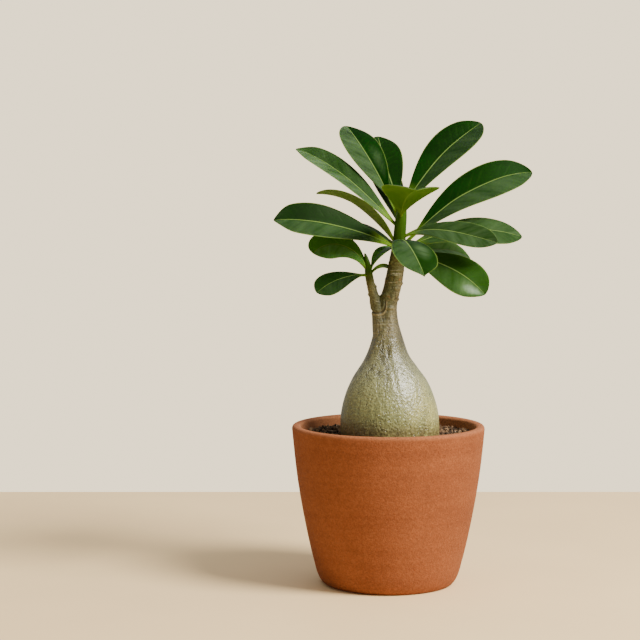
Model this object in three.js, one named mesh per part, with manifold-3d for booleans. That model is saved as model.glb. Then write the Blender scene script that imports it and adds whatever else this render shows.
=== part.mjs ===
// A young desert rose (adenium) in a round terracotta pot.
// Units are millimetres and +Z is up. The origin is the centre of the pot's base,
// where the pot stands. The plant's best side faces -Y, and its trunk leans to +X.

import * as THREE from 'three';
import Module from 'manifold-3d';
import { mergeVertices } from 'three/addons/utils/BufferGeometryUtils.js';

const wasm = await Module();
wasm.setup();

// Pot
const potHeight = 99;
const rimRadius = 60;
const footRadius = 38.5;
const heelRadius = 45.9;
const heelHeight = 12.5;
const bellyRadius = 55.9;
const bellyHeight = 50;
const wallThickness = 5.6;
const lipRound = 2.4;
const floorThickness = 8;
const heelPull = 2.7;
const innerFootRadius = 34;
const innerHeelRadius = 40.8;
const innerHeelRise = 14.7;
const innerHeelPull = 2;
const innerFootPull = 4;
const potCurveSteps = 4;
const potSides = 36;
const drainHoles = 3;
const drainRadius = 4;
const drainReach = 20;
const drainSides = 16;

// Soil
const soilLevel = 92;
const soilRings = 8;
const soilSides = 44;
const soilCurveSteps = 5;
const soilWallGap = 0.4;
const soilFootPull = 6;
const soilHeelPull = 3;
const soilHeelRise = 1;
const soilBellyPull = 1.2;
const soilEdgePull = 0.6;
const crumbHeight = 0.7;
const coarseCrumbs = { across: 0.34, acrossStart: 1.1, deep: 0.29, deepStart: 0.4 };
const fineCrumbs = { across: 1.3, deep: 0.8, turnedDeep: 1.1, turnedAcross: 0.9, start: 2 };

// Clearance between neighbours
const gap = 0.3;

// Stems, as [height, sideways place of the middle, width] from the root end to the tip
const trunk = [
  [42, 1.0, 4], [46, 1.0, 16], [54, 1.0, 31], [66, 1.0, 45], [78, 1.0, 55], [90, 0.9, 60.2],
  [100, 0.8, 61.4], [110, 0.7, 59.2], [120, 0.4, 53.3], [128, 0.3, 45.4], [135, -0.1, 36],
  [141, -0.4, 28], [147, -0.5, 22.6], [155, -0.6, 17.8], [165, -1.0, 13.6], [173, -0.9, 12.3],
  [183, 1.9, 11.3], [190, 3.4, 11.0], [197, 4.6, 10.2], [204, 5.6, 9.6], [212, 6.5, 8.0],
  [221, 7.1, 7.6], [229, 7.8, 6.9], [235, 8.6, 4.6], [239, 9.0, 1.6],
];
const sideBranch = [
  [153, -4.0, 11], [160, -4.8, 10.4], [166, -5.6, 9.2], [171, -6.7, 8.0], [176, -8.0, 7.0],
  [182, -9.8, 6.0], [188, -11.4, 5.4], [193, -12.3, 5.2], [197, -12.7, 4.2], [200, -13.2, 3.6],
  [203, -13.9, 2.6], [206, -14.8, 1.0],
];

const trunkLevels = 42;
const trunkSides = 24;
const branchLevels = 20;
const branchSides = 12;
const rootPoint = 0.8;
const tipPoint = 0.6;
// Each wave of the bark, as [depth, number round the stem, turn for each mm of height, start]
const barkWaves = [[0.010, 3, 0.02, 0.7], [0.007, 5, -0.03, 0], [0.004, 9, 0.11, 0]];

// Leaves. root is the height where the midrib meets the middle of its stem. heading is the
// compass angle from +X towards +Y and rise the angle above level, each at the stalk, the
// middle and the tip. roll turns the blade about its midrib, at the stalk and the tip. fold
// lifts both halves from the midrib and cup curls them back. stalk is the bare length and
// rounding says how blunt the tip is.
const leaves = [
  { name: 'leaf_upper_left', root: 220.5, length: 84, width: 22.5,
    heading: [166, 166, 166], rise: [44, 39, 20], roll: [-26, -26], fold: 15, cup: 8 },
  { name: 'leaf_top_left', root: 226, length: 78, width: 25,
    heading: [138, 133, 123.5], rise: [56, 52, 34], roll: [-50, 3], fold: 9, cup: 8, stalk: 18 },
  { name: 'leaf_top_centre', root: 231, length: 70, width: 24.5,
    heading: [114, 105, 98], rise: [46, 45, 34], roll: [0, 0], fold: 4, cup: 8, stalk: 10 },
  { name: 'leaf_front_upturned', root: 225.5, length: 56, width: 35,
    heading: [-88, -83, -78], rise: [49, 15, 12], roll: [-3, -3], fold: 32, cup: 36, rounding: 0.42 },
  { name: 'leaf_top_right', root: 230, length: 85, width: 25,
    heading: [33, 33, 33], rise: [60, 42, 29], roll: [34, 34], fold: 15, cup: 8 },
  { name: 'leaf_right_long', root: 207, length: 103, width: 26,
    heading: [15, 15, 15], rise: [46, 31, 3], roll: [50, 50], fold: 14, cup: 8, stalk: 16 },
  { name: 'leaf_right_front', root: 214, length: 66, width: 18,
    heading: [-26, -26, -26], rise: [34, -7, -11], roll: [43, 43], fold: 8, cup: 8 },
  { name: 'leaf_right_low', root: 205, length: 84, width: 19,
    heading: [9, 13, 13], rise: [34, 7, -18], roll: [52, 52], fold: -2, cup: 5, stalk: 10 },
  { name: 'leaf_front_drooping', root: 212, length: 58, width: 26,
    heading: [-84, -76, -60], rise: [15, -20, -52], roll: [0, 0], fold: 8, cup: 10 },
  { name: 'leaf_lower_right', root: 205, length: 66, width: 25,
    heading: [-31, -32, -33], rise: [-2, -20, -44], roll: [45, 45], fold: -4, cup: 0 },
  { name: 'leaf_middle_right', root: 204.5, length: 57, width: 18,
    heading: [32, 32, 32], rise: [5, 1, -32], roll: [40, 40], fold: 8, cup: 8 },
  { name: 'leaf_left_broad', root: 208, length: 82, width: 25,
    heading: [-167, -167, -167], rise: [26, 14, -4], roll: [-51, -51], fold: 14, cup: 8 },
  { name: 'leaf_left_arching', root: 208, length: 65, width: 24,
    heading: [172, 172, 172], rise: [62, 35, 1], roll: [36, 4], fold: 15, cup: 10 },
  { name: 'leaf_back_upright', root: 221, length: 58, width: 19,
    heading: [105, 105, 105], rise: [50, 42, 25], roll: [0, 0], fold: 12, cup: 8 },
  { name: 'leaf_back_low', root: 206, length: 54, width: 19,
    heading: [72, 70, 68], rise: [12, -4, -22], roll: [0, 0], fold: 10, cup: 8 },
  { name: 'leaf_back_left', root: 209.5, length: 60, width: 19,
    heading: [136, 138, 140], rise: [22, 13, -6], roll: [-10, -10], fold: 10, cup: 8 },
  { name: 'side_leaf_left', side: true, root: 191, length: 47, width: 22.5,
    heading: [-168, -168, -168], rise: [72, 27, -51], roll: [-47, -47], fold: 0, cup: 0, rounding: 0.45 },
  { name: 'side_leaf_back', side: true, root: 192, length: 37, width: 13,
    heading: [132, 132, 132], rise: [52, 42, 34], roll: [-5, -5], fold: 5, cup: 8 },
  { name: 'side_leaf_lower_left', side: true, root: 192, length: 39, width: 16,
    heading: [-150, -152, -153], rise: [6, -15, -38], roll: [-42, -42], fold: 5, cup: 10, rounding: 0.5 },
  { name: 'side_leaf_right', side: true, root: 192, length: 27, width: 12.5,
    heading: [32, 32, 32], rise: [80, 45, 0], roll: [5, 5], fold: 8, cup: 8 },
  { name: 'side_leaf_young', side: true, root: 191.4, length: 19, width: 4,
    heading: [4, 4, 4], rise: [66, 12, -72], roll: [30, 30], fold: 8, cup: 8, stalk: 2 },
];
const usualStalk = 6;
const stalkHalf = 1.15;
const sideStalkHalf = 0.9;
const leastHalf = 0.5;
const narrowing = 1.2;
const usualRounding = 0.55;
const leafSteps = 12;
const leafStrips = 6;
const tipCrowding = 1.4;

// Half the thickness of a leaf at its midrib and its margin, and what each gains at the stalk
const ribHalf = 0.62;
const ribGain = 0.5;
const edgeHalf = 0.38;
const edgeGain = 0.25;
const thinning = 0.6;
const grownWidth = 12;

const colours = {
  pot: { color: 0xb2623a, roughness: 0.85 },
  soil: { color: 0x3b2d22, roughness: 1.0 },
  bark: { color: 0x9a9478, roughness: 0.6 },
  leaf: { color: 0x2e5a20, roughness: 0.35 },
};

// Solids and meshes

function solidOf(points, triangles) {
  const vertProperties = new Float32Array(points.flatMap((point) => [point.x, point.y, point.z]));
  return new wasm.Manifold(new wasm.Mesh({
    numProp: 3,
    vertProperties,
    triVerts: new Uint32Array(triangles.flat()),
  }));
}

function weldedSolid(geometry) {
  geometry.deleteAttribute('normal');
  geometry.deleteAttribute('uv');
  const welded = mergeVertices(geometry, 0.001);
  const place = welded.getAttribute('position');
  const points = [];
  for (let i = 0; i < place.count; i += 1) {
    points.push(new THREE.Vector3().fromBufferAttribute(place, i));
  }
  const order = Array.from(welded.getIndex().array);
  const triangles = [];
  for (let i = 0; i < order.length; i += 3) {
    const [a, b, c] = order.slice(i, i + 3);
    if (a !== b && b !== c && c !== a) triangles.push([a, b, c]);
  }
  return solidOf(points, triangles);
}

function meshOf(name, solid, look) {
  const { vertProperties, triVerts } = solid.getMesh();
  const geometry = new THREE.BufferGeometry();
  geometry.setAttribute('position', new THREE.BufferAttribute(new Float32Array(vertProperties), 3));
  geometry.setIndex(new THREE.BufferAttribute(new Uint32Array(triVerts), 1));
  geometry.computeVertexNormals();
  const material = new THREE.MeshStandardMaterial({ ...look, metalness: 0 });
  const mesh = new THREE.Mesh(geometry, material);
  mesh.name = name;
  return mesh;
}

function turned(path, divisions, sides) {
  const geometry = new THREE.LatheGeometry(path.getPoints(divisions), sides);
  geometry.rotateX(Math.PI / 2);
  return weldedSolid(geometry);
}

// The pot is one turned wall with a rounded lip and a flat foot

function potOutline(inset) {
  const innerRim = rimRadius - wallThickness - inset;
  return {
    innerRim,
    heel: innerHeelRadius - inset,
    belly: bellyRadius - wallThickness - inset,
    floor: floorThickness + inset,
    foot: innerFootRadius - inset,
  };
}

function pot() {
  const inside = potOutline(0);
  const path = new THREE.Path();
  path.moveTo(0, 0);
  path.lineTo(footRadius, 0);
  path.quadraticCurveTo(heelRadius - heelPull, 0, heelRadius, heelHeight);
  path.quadraticCurveTo(bellyRadius, bellyHeight, rimRadius, potHeight - lipRound);
  path.quadraticCurveTo(rimRadius, potHeight, rimRadius - lipRound, potHeight);
  path.quadraticCurveTo(inside.innerRim, potHeight, inside.innerRim, potHeight - lipRound);
  path.quadraticCurveTo(inside.belly, bellyHeight, inside.heel, innerHeelRise + inside.floor);
  path.quadraticCurveTo(inside.heel - innerHeelPull, inside.floor, inside.foot - innerFootPull, inside.floor);
  path.lineTo(0, inside.floor);
  let solid = turned(path, potCurveSteps, potSides);
  for (let i = 0; i < drainHoles; i += 1) {
    const angle = Math.PI / 2 + (i * 2 * Math.PI) / drainHoles;
    const drill = new THREE.CylinderGeometry(drainRadius, drainRadius, 4 * floorThickness, drainSides);
    drill.rotateX(Math.PI / 2);
    drill.translate(drainReach * Math.cos(angle), drainReach * Math.sin(angle), 0);
    solid = solid.subtract(weldedSolid(drill));
  }
  return solid;
}

// Stems are round sections, one above the other, with a slow ripple in their bark

function stemCurve(rows) {
  return new THREE.CatmullRomCurve3(
    rows.map(([height, side, width]) => new THREE.Vector3(side, width / 2, height)),
    false,
    'centripetal',
  );
}

function stemMiddle(rows, height) {
  const upper = rows.findIndex((row) => row[0] >= height);
  const [low, high] = [rows[upper - 1], rows[upper]];
  const share = (height - low[0]) / (high[0] - low[0]);
  return new THREE.Vector3(THREE.MathUtils.lerp(low[1], high[1], share), 0, height);
}

function ripple(angle, height) {
  const waves = barkWaves.map(([depth, count, turn, start]) => (
    depth * Math.sin(count * angle + turn * height + start)
  ));
  return waves.reduce((sum, wave) => sum + wave, 0);
}

function stem(rows, levels, sides, extra) {
  const curve = stemCurve(rows);
  const points = [];
  const triangles = [];
  for (let i = 0; i <= levels; i += 1) {
    const { x: side, y: radius, z: height } = curve.getPoint(i / levels);
    for (let j = 0; j < sides; j += 1) {
      const angle = (j * 2 * Math.PI) / sides;
      const reach = radius * (1 + ripple(angle, height)) + extra;
      points.push(new THREE.Vector3(side + reach * Math.cos(angle), reach * Math.sin(angle), height));
    }
  }
  for (let i = 0; i < levels; i += 1) {
    for (let j = 0; j < sides; j += 1) {
      const [a, b] = [i * sides + j, i * sides + ((j + 1) % sides)];
      triangles.push([a, b, b + sides], [a, b + sides, a + sides]);
    }
  }
  const [first, last] = [rows[0], rows[rows.length - 1]];
  const bottom = points.push(new THREE.Vector3(first[1], 0, first[0] - rootPoint - extra)) - 1;
  const top = points.push(new THREE.Vector3(last[1], 0, last[0] + tipPoint + extra)) - 1;
  for (let j = 0; j < sides; j += 1) {
    const next = (j + 1) % sides;
    triangles.push([bottom, next, j]);
    triangles.push([top, levels * sides + j, levels * sides + next]);
  }
  return solidOf(points, triangles);
}

function stems(extra) {
  const main = stem(trunk, trunkLevels, trunkSides, extra);
  return main.add(stem(sideBranch, branchLevels, branchSides, extra));
}

// Soil fills the pot up to its level, with a crumbly top and a hole for the root

function soilTop(radius, angle) {
  const [x, y] = [radius * Math.cos(angle), radius * Math.sin(angle)];
  const { across, acrossStart, deep, deepStart } = coarseCrumbs;
  const coarse = Math.sin(across * x + acrossStart) * Math.sin(deep * y + deepStart);
  const { turnedDeep, turnedAcross, start } = fineCrumbs;
  const fine = Math.sin(fineCrumbs.across * x + fineCrumbs.deep * y)
    * Math.sin(turnedDeep * y - turnedAcross * x + start);
  return soilLevel + crumbHeight * (coarse + fine);
}

function soil() {
  const inside = potOutline(gap);
  const share = (soilLevel - bellyHeight) / (potHeight - lipRound - bellyHeight);
  const wallAtLevel = THREE.MathUtils.lerp(inside.belly, inside.innerRim, share) - soilWallGap;
  const heelTop = innerHeelRise + floorThickness + soilHeelRise;
  const path = new THREE.Path();
  path.moveTo(0, inside.floor);
  path.lineTo(inside.foot - soilFootPull, inside.floor);
  path.quadraticCurveTo(inside.heel - soilHeelPull, inside.floor, inside.heel - soilWallGap, heelTop);
  path.quadraticCurveTo(inside.belly - soilBellyPull, bellyHeight, wallAtLevel - soilEdgePull, soilLevel);
  for (let i = 1; i <= soilRings; i += 1) {
    path.lineTo(wallAtLevel * (1 - i / soilRings), soilLevel);
  }
  const geometry = new THREE.LatheGeometry(path.getPoints(soilCurveSteps), soilSides);
  const place = geometry.getAttribute('position');
  for (let i = 0; i < place.count; i += 1) {
    if (place.getY(i) > soilLevel - 0.01) {
      const [x, z] = [place.getX(i), place.getZ(i)];
      place.setY(i, soilTop(Math.hypot(x, z), Math.atan2(z, x)));
    }
  }
  geometry.rotateX(Math.PI / 2);
  return weldedSolid(geometry).subtract(stems(2 * gap));
}

// A leaf is a chain of cross-sections along its midrib, closed by its margins

function through([start, middle, end], t) {
  return start * (1 - t) * (1 - 2 * t) + 4 * middle * t * (1 - t) + end * t * (2 * t - 1);
}

function bladeOutline(t, rounding) {
  const widest = narrowing / (narrowing + rounding);
  return (t / widest) ** narrowing * ((1 - t) / (1 - widest)) ** rounding;
}

function midribFrame(leaf, t) {
  const heading = THREE.MathUtils.degToRad(through(leaf.heading, t));
  const rise = THREE.MathUtils.degToRad(through(leaf.rise, t));
  const along = new THREE.Vector3(
    Math.cos(rise) * Math.cos(heading),
    Math.cos(rise) * Math.sin(heading),
    Math.sin(rise),
  );
  const level = new THREE.Vector3(-Math.sin(heading), Math.cos(heading), 0);
  const roll = THREE.MathUtils.degToRad(THREE.MathUtils.lerp(...leaf.roll, t));
  const across = level.clone().applyAxisAngle(along, roll);
  const up = along.clone().cross(across);
  return { along, across, up };
}

function leafSolid(leaf) {
  const middle = stemMiddle(leaf.side ? sideBranch : trunk, leaf.root);
  const stalk = (leaf.stalk ?? usualStalk) / leaf.length;
  const stalkWidth = Math.min(leaf.side ? sideStalkHalf : stalkHalf, leaf.width / 5);
  const upper = [];
  const lower = [];
  const spot = middle.clone();
  let last = null;
  for (let i = 0; i <= leafSteps; i += 1) {
    const t = 1 - (1 - i / leafSteps) ** tipCrowding;
    const frame = midribFrame(leaf, t);
    if (last) {
      const step = frame.along.clone().add(last.along).normalize();
      spot.addScaledVector(step, leaf.length * (t - last.t));
    }
    last = { along: frame.along, t };
    const share = Math.max(t - stalk, 0) / (1 - stalk);
    const blade = bladeOutline(share, leaf.rounding ?? usualRounding);
    const half = Math.max(stalkWidth * (1 - t) ** 0.5 + (leaf.width / 2) * blade, leastHalf);
    const youth = Math.min(leaf.width / grownWidth, 1);
    const rib = (ribHalf + ribGain * (1 - t) ** 3) * (0.5 + 0.5 * youth);
    const edge = edgeHalf + edgeGain * (1 - t) ** 4;
    for (let j = 0; j <= leafStrips; j += 1) {
      const v = (2 * j) / leafStrips - 1;
      const tilt = THREE.MathUtils.degToRad(leaf.fold * Math.min(1, 3 * t) - (leaf.cup * Math.abs(v)) / 2);
      const core = spot.clone()
        .addScaledVector(frame.across, half * v * Math.cos(tilt))
        .addScaledVector(frame.up, half * Math.abs(v) * Math.sin(tilt));
      const thick = THREE.MathUtils.lerp(rib, edge, Math.abs(v) ** thinning);
      upper.push(core.clone().addScaledVector(frame.up, thick));
      lower.push(core.addScaledVector(frame.up, -thick));
    }
  }
  const row = leafStrips + 1;
  const under = upper.length;
  const triangles = [];
  for (let i = 0; i < leafSteps; i += 1) {
    for (let j = 0; j < leafStrips; j += 1) {
      const [a, b, c, d] = [i * row + j, (i + 1) * row + j, (i + 1) * row + j + 1, i * row + j + 1];
      triangles.push([a, b, c], [a, c, d]);
      triangles.push([under + a, under + c, under + b], [under + a, under + d, under + c]);
    }
    const [near, far] = [i * row, (i + 1) * row];
    const [nearEnd, farEnd] = [near + leafStrips, far + leafStrips];
    triangles.push([near, under + near, under + far], [near, under + far, far]);
    triangles.push([nearEnd, under + farEnd, under + nearEnd], [nearEnd, farEnd, under + farEnd]);
  }
  const end = leafSteps * row;
  for (let j = 0; j < leafStrips; j += 1) {
    triangles.push([j, j + 1, under + j + 1], [j, under + j + 1, under + j]);
    triangles.push([end + j, under + end + j + 1, end + j + 1]);
    triangles.push([end + j, under + end + j, under + end + j + 1]);
  }
  return solidOf([...upper, ...lower], triangles);
}

const plant = new THREE.Group();
plant.name = 'potted_desert_rose';
plant.add(meshOf('pot', pot(), colours.pot));
plant.add(meshOf('soil', soil(), colours.soil));
plant.add(meshOf('caudex_and_branches', stems(0), colours.bark));
const clearOfStems = stems(gap);
for (const leaf of leaves) {
  plant.add(meshOf(leaf.name, leafSolid(leaf).subtract(clearOfStems), colours.leaf));
}

export default plant;
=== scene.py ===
import math
import random

import bmesh
import bpy
from mathutils import Euler, Matrix, Vector, noise


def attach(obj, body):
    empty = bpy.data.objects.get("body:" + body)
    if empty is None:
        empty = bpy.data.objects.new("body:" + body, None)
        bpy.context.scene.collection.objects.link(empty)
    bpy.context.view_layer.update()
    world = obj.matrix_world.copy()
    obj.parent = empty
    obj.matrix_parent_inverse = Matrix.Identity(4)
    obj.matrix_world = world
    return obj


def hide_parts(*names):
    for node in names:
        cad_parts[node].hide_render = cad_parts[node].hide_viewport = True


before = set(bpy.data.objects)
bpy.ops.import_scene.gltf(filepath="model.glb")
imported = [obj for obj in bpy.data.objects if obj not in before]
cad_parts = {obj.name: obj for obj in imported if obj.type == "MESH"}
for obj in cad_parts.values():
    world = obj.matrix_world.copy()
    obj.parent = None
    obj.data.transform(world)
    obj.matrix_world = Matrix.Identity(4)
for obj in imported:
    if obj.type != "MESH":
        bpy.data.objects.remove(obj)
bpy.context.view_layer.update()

mm = 0.001


# Small helps for modelling

def clear():
    for other in bpy.context.selected_objects:
        other.select_set(False)


def only(piece):
    # this piece alone is selected, and the active one
    clear()
    piece.select_set(True)
    bpy.context.view_layer.objects.active = piece


def started(name):
    # the primitive that was just added, under its own name
    piece = bpy.context.active_object
    piece.name = name
    piece.data.name = name
    return piece


def modify(piece, kind, **settings):
    only(piece)
    modifier = piece.modifiers.new(kind.title(), kind)
    for name, value in settings.items():
        setattr(modifier, name, value)
    bpy.ops.object.modifier_apply(modifier=modifier.name)


def pick(piece, points):
    # selects these vertices of the mesh that is being edited
    shape = bmesh.from_edit_mesh(piece.data)
    bpy.ops.mesh.select_all(action="DESELECT")
    shape.verts.ensure_lookup_table()
    for point in points:
        shape.verts[point].select_set(True)
    shape.select_flush(True)


def smoothRows(rows, steps):
    # a centripetal spline through the rows, with the same number of steps between each two
    points = [Vector(row) for row in rows]
    points = [points[0] * 2 - points[1], *points, points[-1] * 2 - points[-2]]
    smooth = []
    for a, b, c, d in zip(points, points[1:], points[2:], points[3:]):
        ta = 0
        tb = ta + (b - a).length ** 0.5
        tc = tb + (c - b).length ** 0.5
        td = tc + (d - c).length ** 0.5
        for step in range(steps):
            t = tb + (tc - tb) * step / steps
            ab = a.lerp(b, (t - ta) / (tb - ta))
            bc = b.lerp(c, (t - tb) / (tc - tb))
            cd = c.lerp(d, (t - tc) / (td - tc))
            abc = ab.lerp(bc, (t - ta) / (tc - ta))
            bcd = bc.lerp(cd, (t - tb) / (td - tb))
            smooth.append(abc.lerp(bcd, (t - tb) / (tc - tb)))
    return [*smooth, points[-2]]


def turned(name, rows, sides):
    # a round body: a circle, extruded from row to row of (radius, sideways place, height) in millimetres
    clear()
    radius, across, height = rows[0]
    bpy.ops.mesh.primitive_circle_add(
        vertices=sides, radius=radius * mm, fill_type="NOTHING", location=(across * mm, 0, height * mm))
    piece = started(name)
    bpy.ops.object.transform_apply()
    bpy.ops.object.mode_set(mode="EDIT")
    bpy.ops.mesh.select_all(action="SELECT")
    for row in rows[1:]:
        move = ((row[1] - across) * mm, 0, (row[2] - height) * mm)
        bpy.ops.mesh.extrude_edges_move(TRANSFORM_OT_translate={"value": move})
        size = row[0] / radius
        bpy.ops.transform.resize(value=(size, size, 1), center_override=(row[1] * mm, 0, row[2] * mm))
        radius, across, height = row
    bpy.ops.mesh.select_all(action="DESELECT")
    bpy.ops.mesh.select_non_manifold()
    bpy.ops.mesh.edge_face_add()                       # closes the open ends
    bpy.ops.mesh.select_all(action="SELECT")
    bpy.ops.mesh.normals_make_consistent(inside=False)
    bpy.ops.object.mode_set(mode="OBJECT")
    return piece


def done(piece, angle=180):
    only(piece)
    bpy.ops.object.shade_smooth_by_angle(angle=math.radians(angle))
    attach(piece, "root")
    return piece


# Small helps for materials

class Reading:
    # a socket of a material, which plain signs such as + and * can work on
    def __init__(self, finish, socket):
        self.finish = finish
        self.socket = socket

    def work(self, operation, *values):
        return self.finish.add("ShaderNodeMath", {"operation": operation}, dict(enumerate(values)))

    def __add__(self, other):
        return self.work("ADD", self, other)

    __radd__ = __add__

    def __sub__(self, other):
        return self.work("SUBTRACT", self, other)

    def __rsub__(self, other):
        return self.work("SUBTRACT", other, self)

    def __mul__(self, other):
        return self.work("MULTIPLY", self, other)

    __rmul__ = __mul__

    def __truediv__(self, other):
        return self.work("DIVIDE", self, other)

    def __pow__(self, other):
        return self.work("POWER", self, other)

    def __abs__(self):
        return self.work("ABSOLUTE", self)

    def most(self, other):
        return self.work("MAXIMUM", self, other)

    def least(self, other):
        return self.work("MINIMUM", self, other)

    def rises(self, low, high):
        # 0 below low, 1 above high, and smooth between them
        return self.finish.add("ShaderNodeMapRange", {"interpolation_type": "SMOOTHSTEP"},
                               {"Value": self, "From Min": low, "From Max": high})


class Finish:
    # a material and its nodes
    def __init__(self, name):
        self.material = bpy.data.materials.new(name)
        self.material.use_nodes = True
        self.tree = self.material.node_tree
        self.shader = self.tree.nodes["Principled BSDF"]

    def add(self, kind, settings=None, sockets=None, output=0):
        node = self.tree.nodes.new(kind)
        for name, value in (settings or {}).items():
            if name == "stops":
                while len(node.color_ramp.elements) < len(value):
                    node.color_ramp.elements.new(1)
                for element, (position, color) in zip(node.color_ramp.elements, value):
                    element.position = position
                    element.color = (*color, 1)
            else:
                setattr(node, name, value)
        for name, value in (sockets or {}).items():
            if isinstance(value, Reading):
                self.tree.links.new(value.socket, node.inputs[name])
            else:
                node.inputs[name].default_value = value
        return Reading(self, node.outputs[output])

    def place(self, stretch=(1, 1, 1)):
        spot = self.add("ShaderNodeTexCoord", output="Object")
        return self.add("ShaderNodeMapping", {}, {"Vector": spot, "Scale": stretch})

    def stored(self, name, output="Fac"):
        # a value or colour that the mesh carries at its points
        return self.add("ShaderNodeAttribute", {"attribute_name": name}, {}, output)

    def axis(self, vector, letter):
        return self.add("ShaderNodeSeparateXYZ", {}, {0: vector}, letter)

    def cloud(self, place, scale, detail=2.0, rough=0.5, twist=0.0):
        return self.add("ShaderNodeTexNoise", {},
                        {"Vector": place, "Scale": scale, "Detail": detail, "Roughness": rough,
                         "Distortion": twist})

    def cells(self, place, scale):
        return self.add("ShaderNodeTexVoronoi", {}, {"Vector": place, "Scale": scale})

    def ramp(self, share, stops):
        return self.add("ShaderNodeValToRGB", {"stops": stops}, {"Fac": share})

    def mix(self, first, second, share):
        first, second = [c if isinstance(c, Reading) else (*c, 1) for c in (first, second)]
        return self.add("ShaderNodeMix", {"data_type": "RGBA"}, {0: share, 6: first, 7: second}, 2)

    def shade(self, color, amount):
        # the colour made lighter or darker by a value, where 1 leaves it as it is
        return self.add("ShaderNodeVectorMath", {"operation": "SCALE"}, {0: color, "Scale": amount})

    def bump(self, height, distance, strength=1.0, under=None):
        sockets = {"Height": height, "Distance": distance, "Strength": strength}
        if under:
            sockets["Normal"] = under
        return self.add("ShaderNodeBump", {}, sockets)

    def dress(self, links, numbers):
        for name, reading in links.items():
            self.tree.links.new(reading.socket, self.shader.inputs[name])
        for name, value in numbers.items():
            self.shader.inputs[name].default_value = value
        return self.material

    def duller(self, share, numbers):
        # where the share is 1, the dressed finish is mixed out for the same one with other numbers
        other = self.tree.nodes.new("ShaderNodeBsdfPrincipled")
        for name, socket in self.shader.inputs.items():
            if socket.is_linked:
                self.tree.links.new(socket.links[0].from_socket, other.inputs[name])
        for name, value in numbers.items():
            other.inputs[name].default_value = value
        both = self.tree.nodes.new("ShaderNodeMixShader")
        self.tree.links.new(share.socket, both.inputs[0])
        self.tree.links.new(self.shader.outputs[0], both.inputs[1])
        self.tree.links.new(other.outputs[0], both.inputs[2])
        self.tree.links.new(both.outputs[0], self.tree.nodes["Material Output"].inputs["Surface"])
        return self.material


print("stage 1: camera, light and floor")

viewValues = {
    "cameraSpot": (-0.0425, -1.100, 0.245),
    "cameraTilt": 85.8,                       # degrees; 90 is level
    "lens": 100,
    "keySpot": (1.20, -0.72, 1.50),
    "keySize": 0.8,
    "keyPower": 92,
    "keyColor": (1, 0.955, 0.89),
    "keyAim": (0, 0, 0.12),
    "backdropColor": (2.02, 1.70, 1.17),
    "skyColor": (1.0, 0.98, 0.95),
    "skyDim": 0.24,
    "skyBright": 0.86,
    "skyFrom": (0.40, 0.30, 0.86),            # the side that the soft light comes from
    "skySpread": (-0.15, 0.95),               # where the soft light starts and ends its rise
    "floorColor": (0.86, 0.62, 0.32),
    "floorMottle": 0.16,
    "floorBack": 0.33,                        # the floor ends here, a little behind the pot
    "floorReach": 3.0,
}

camera = bpy.data.objects.new("camera", bpy.data.cameras.new("camera"))
bpy.context.scene.collection.objects.link(camera)
camera.location = viewValues["cameraSpot"]
camera.rotation_euler = (math.radians(viewValues["cameraTilt"]), 0, 0)
camera.data.lens = viewValues["lens"]
bpy.context.scene.camera = camera

keySpot = Vector(viewValues["keySpot"])
keyLamp = bpy.data.lights.new("keyLight", "AREA")
keyLamp.shape = "DISK"
keyLamp.size = viewValues["keySize"]
keyLamp.energy = viewValues["keyPower"]
keyLamp.color = viewValues["keyColor"]
keyLight = bpy.data.objects.new("keyLight", keyLamp)
bpy.context.scene.collection.objects.link(keyLight)
keyLight.location = keySpot
keyLight.rotation_euler = (Vector(viewValues["keyAim"]) - keySpot).to_track_quat("-Z", "Y").to_euler()

# a soft sky, brighter on one side; the camera alone sees the plain backdrop colour
sky = bpy.data.worlds.new("studio")
bpy.context.scene.world = sky
sky.use_nodes = True
skyNodes = sky.node_tree.nodes
skyLinks = sky.node_tree.links
skyLight = skyNodes["Background"]
skyLight.inputs["Color"].default_value = (*viewValues["skyColor"], 1)
skySide = skyNodes.new("ShaderNodeVectorMath")
skySide.operation = "DOT_PRODUCT"
skySide.inputs[1].default_value = viewValues["skyFrom"]
skyLinks.new(skyNodes.new("ShaderNodeTexCoord").outputs["Generated"], skySide.inputs[0])
skyShare = skyNodes.new("ShaderNodeMapRange")
skyShare.interpolation_type = "SMOOTHSTEP"
skyShare.inputs["From Min"].default_value = viewValues["skySpread"][0]
skyShare.inputs["From Max"].default_value = viewValues["skySpread"][1]
skyShare.inputs["To Min"].default_value = viewValues["skyDim"]
skyShare.inputs["To Max"].default_value = viewValues["skyBright"]
skyLinks.new(skySide.outputs["Value"], skyShare.inputs["Value"])
skyLinks.new(skyShare.outputs[0], skyLight.inputs["Strength"])
backdrop = skyNodes.new("ShaderNodeBackground")
backdrop.inputs["Color"].default_value = (*viewValues["backdropColor"], 1)
rayKind = skyNodes.new("ShaderNodeLightPath")
either = skyNodes.new("ShaderNodeMixShader")
skyLinks.new(rayKind.outputs["Is Camera Ray"], either.inputs[0])
skyLinks.new(skyLight.outputs[0], either.inputs[1])
skyLinks.new(backdrop.outputs[0], either.inputs[2])
skyLinks.new(either.outputs[0], skyNodes["World Output"].inputs["Surface"])

floorFinish = Finish("paleFloor")
floorCloud = floorFinish.cloud(floorFinish.place(), 9, 4)
floorTone = floorFinish.shade(viewValues["floorColor"], (floorCloud - 0.5) * viewValues["floorMottle"] + 1)
floorMaterial = floorFinish.dress({"Base Color": floorTone}, {"Roughness": 0.7})
clear()
reach = viewValues["floorReach"]
bpy.ops.mesh.primitive_plane_add(size=2, location=(0, viewValues["floorBack"] - reach, 0))
floor = started("floor")
floor.scale = (reach, reach, 1)
bpy.ops.object.transform_apply()
floor.data.materials.append(floorMaterial)


print("stage 2: pot")

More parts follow.
